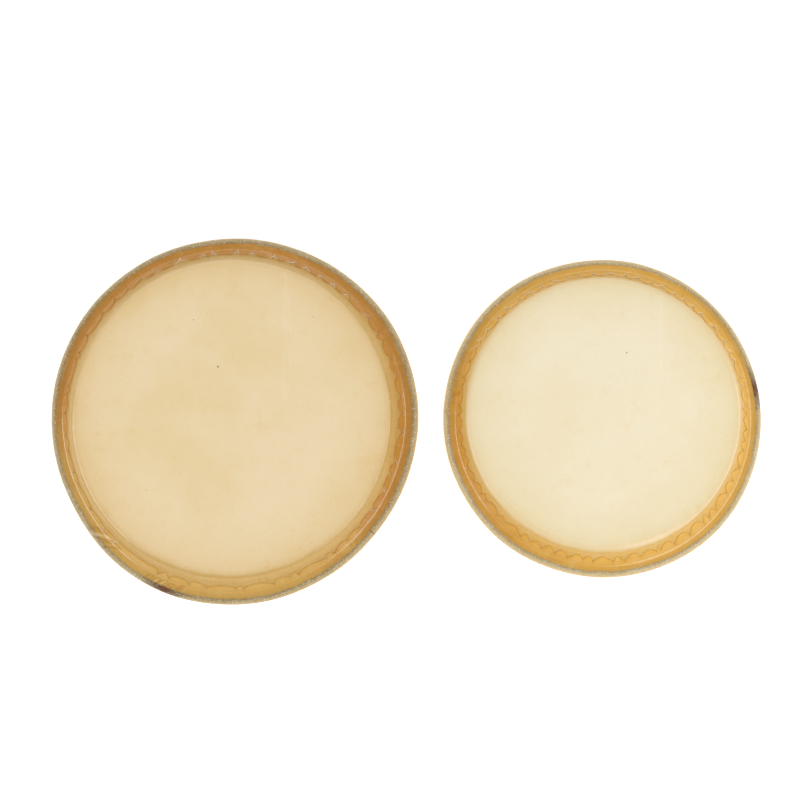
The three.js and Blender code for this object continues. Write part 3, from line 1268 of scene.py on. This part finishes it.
class DRUMHEADS_OT_hides(Operator):
    """Make the two hides, lapped round their hoops and trimmed"""

    bl_idname = "drumheads.hides"
    bl_label = "Hides"

    def execute(self, context):
        recipe = swept_hide()
        for seed, name in enumerate(HEADS, start=3):
            section = section_of(name, context.scene)
            hide, sizes = section.hide, section.sizes
            values = {
                "Tabs": hide.tabs,
                "Tab Steps": sizes.tab_steps,
                "Flap Width": section.flap_width(),
                "Notch Share": hide.notch,
                "Roundness": hide.roundness,
                "Unevenness": sizes.uneven,
                "Collar Normal": section.normal,
                "Plain From": hide.plain_from,
                "Plain To": hide.plain_to,
                "Longer Side": (*hide.longer, 0.0),
                "Centre": (section.centre.x, section.centre.y, 0.0),
                "Seed": seed,
                "Material": rawhide(section),
            }
            skin = recipe.make(f"{name}_hide", section.outline(), values)
            facing_out(skin)
            age(skin, section, seed)
            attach(skin, f"{name}_head")
            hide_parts(f"{name}_skin")
            cut_radius = section.landmarks()["end"]
            width = 2 * cut_radius
            math.pi * cut_radius**2
        return {"FINISHED"}


class DRUMHEADS_OT_fibres(Operator):
    """Make the loose fibres on the trimmed edges"""

    bl_idname = "drumheads.fibres"
    bl_label = "Edge Fibres"

    def execute(self, context):
        recipe = frayed_edge()
        material = hide_fibre()
        for seed, name in enumerate(HEADS, start=11):
            section = section_of(name, context.scene)
            path = self.edge_path(bpy.data.objects[f"{name}_hide"].data, section)
            values = {"Count": section.sizes.fibres, "Seed": seed, "Material": material}
            fibres = recipe.make(f"{name}_edge_fibres", path, values)
            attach(fibres, f"{name}_head")
        return {"FINISHED"}

    @staticmethod
    def edge_path(mesh, section):
        """The trimmed edge of a finished hide, as a closed line."""
        points = places_of(mesh)[read(mesh, "tip") > 0.9]
        flat = points[:, :2] - np.array(section.centre)[:2]
        points = points[np.argsort(np.arctan2(flat[:, 1], flat[:, 0]))]
        return closed_line(f"{section.name}_edge_path", points)


# The soft lights' places, and their lengths and widths. Their powers are in the studio's settings.
PANELS = {
    "right_panel": ((0.95, -0.4, 0.85), (1.9, 0.4)),
    "left_panel": ((-1.1, -0.35, 0.85), (1.0, 0.4)),
    "back_panel": ((-0.1, 1.2, 0.8), (1.8, 0.3)),
    "key_light": ((0.5, -0.5, 1.4), (0.35, 0.25)),
}
FLOOR_HALF = 30.0


class DRUMHEADS_OT_stage(Operator):
    """Make the floor, the camera and the lights"""

    bl_idname = "drumheads.stage"
    bl_label = "Stage"

    def execute(self, context):
        scene = context.scene
        studio = scene.studio
        self.floor()
        camera = bpy.data.cameras.new("camera")
        camera.lens = studio.lens
        eye = bpy.data.objects.new("camera", camera)
        eye.location = studio.camera_place
        eye.rotation_euler = studio.camera_turn
        scene.collection.objects.link(eye)
        scene.camera = eye
        world = bpy.data.worlds.new("surround")
        world.use_nodes = True
        world.node_tree.nodes["Background"].inputs["Strength"].default_value = studio.sky
        world.node_tree.nodes["Background"].inputs["Color"].default_value = (1, 1, 1, 1)
        scene.world = world
        scene.view_settings.view_transform = "Standard"
        for name, (place, size) in PANELS.items():
            self.panel(scene, name, place, size, getattr(studio, name))
        return {"FINISHED"}

    @staticmethod
    def floor():
        mesh = bpy.data.meshes.new("floor")
        half = FLOOR_HALF
        corners = [(-half, -half, 0), (half, -half, 0), (half, half, 0), (-half, half, 0)]
        mesh.from_pydata(corners, [], [(0, 1, 2, 3)])
        mesh.materials.append(floor_paper())
        floor = bpy.data.objects.new("floor", mesh)
        bpy.context.scene.collection.objects.link(floor)

    @staticmethod
    def panel(scene, name, place, size, power):
        """A long soft light, level along its width and turned to the middle of the pair."""
        light = bpy.data.lights.new(name, "AREA")
        light.shape = "RECTANGLE"
        light.size, light.size_y = size
        light.energy = power
        lamp = bpy.data.objects.new(name, light)
        lamp.location = place
        lamp.rotation_euler = (-lamp.location).to_track_quat("-Z", "Y").to_euler()
        scene.collection.objects.link(lamp)


class DRUMHEADS_PT_tools(Panel):
    """Lists the pieces and their settings"""

    bl_idname = "DRUMHEADS_PT_tools"
    bl_label = "Drum Heads"
    bl_space_type = "VIEW_3D"
    bl_region_type = "UI"
    bl_category = "Drum Heads"

    def draw(self, context):
        layout = self.layout
        for operator in OPERATORS:
            layout.operator(operator.bl_idname)
        for group in ("head_sizes", "large_hide", "small_hide", "studio"):
            box = layout.box()
            settings = getattr(context.scene, group)
            for name in settings.__annotations__:
                box.prop(settings, name)


GROUPS = {
    "head_sizes": HeadSizes,
    "large_hide": LargeHide,
    "small_hide": SmallHide,
    "studio": StudioSettings,
}
OPERATORS = (DRUMHEADS_OT_stage, DRUMHEADS_OT_hoops, DRUMHEADS_OT_hides, DRUMHEADS_OT_fibres)


def register():
    for cls in (*GROUPS.values(), *OPERATORS, DRUMHEADS_PT_tools):
        bpy.utils.register_class(cls)
    for name, cls in GROUPS.items():
        setattr(bpy.types.Scene, name, PointerProperty(type=cls))


def unregister():
    for name in GROUPS:
        delattr(bpy.types.Scene, name)
    for cls in reversed((*GROUPS.values(), *OPERATORS, DRUMHEADS_PT_tools)):
        bpy.utils.unregister_class(cls)


def main():
    register()
    bpy.ops.drumheads.stage()
    bpy.ops.drumheads.hoops()
    bpy.ops.drumheads.hides()
    bpy.ops.drumheads.fibres()


if __name__ == "__main__":
    main()
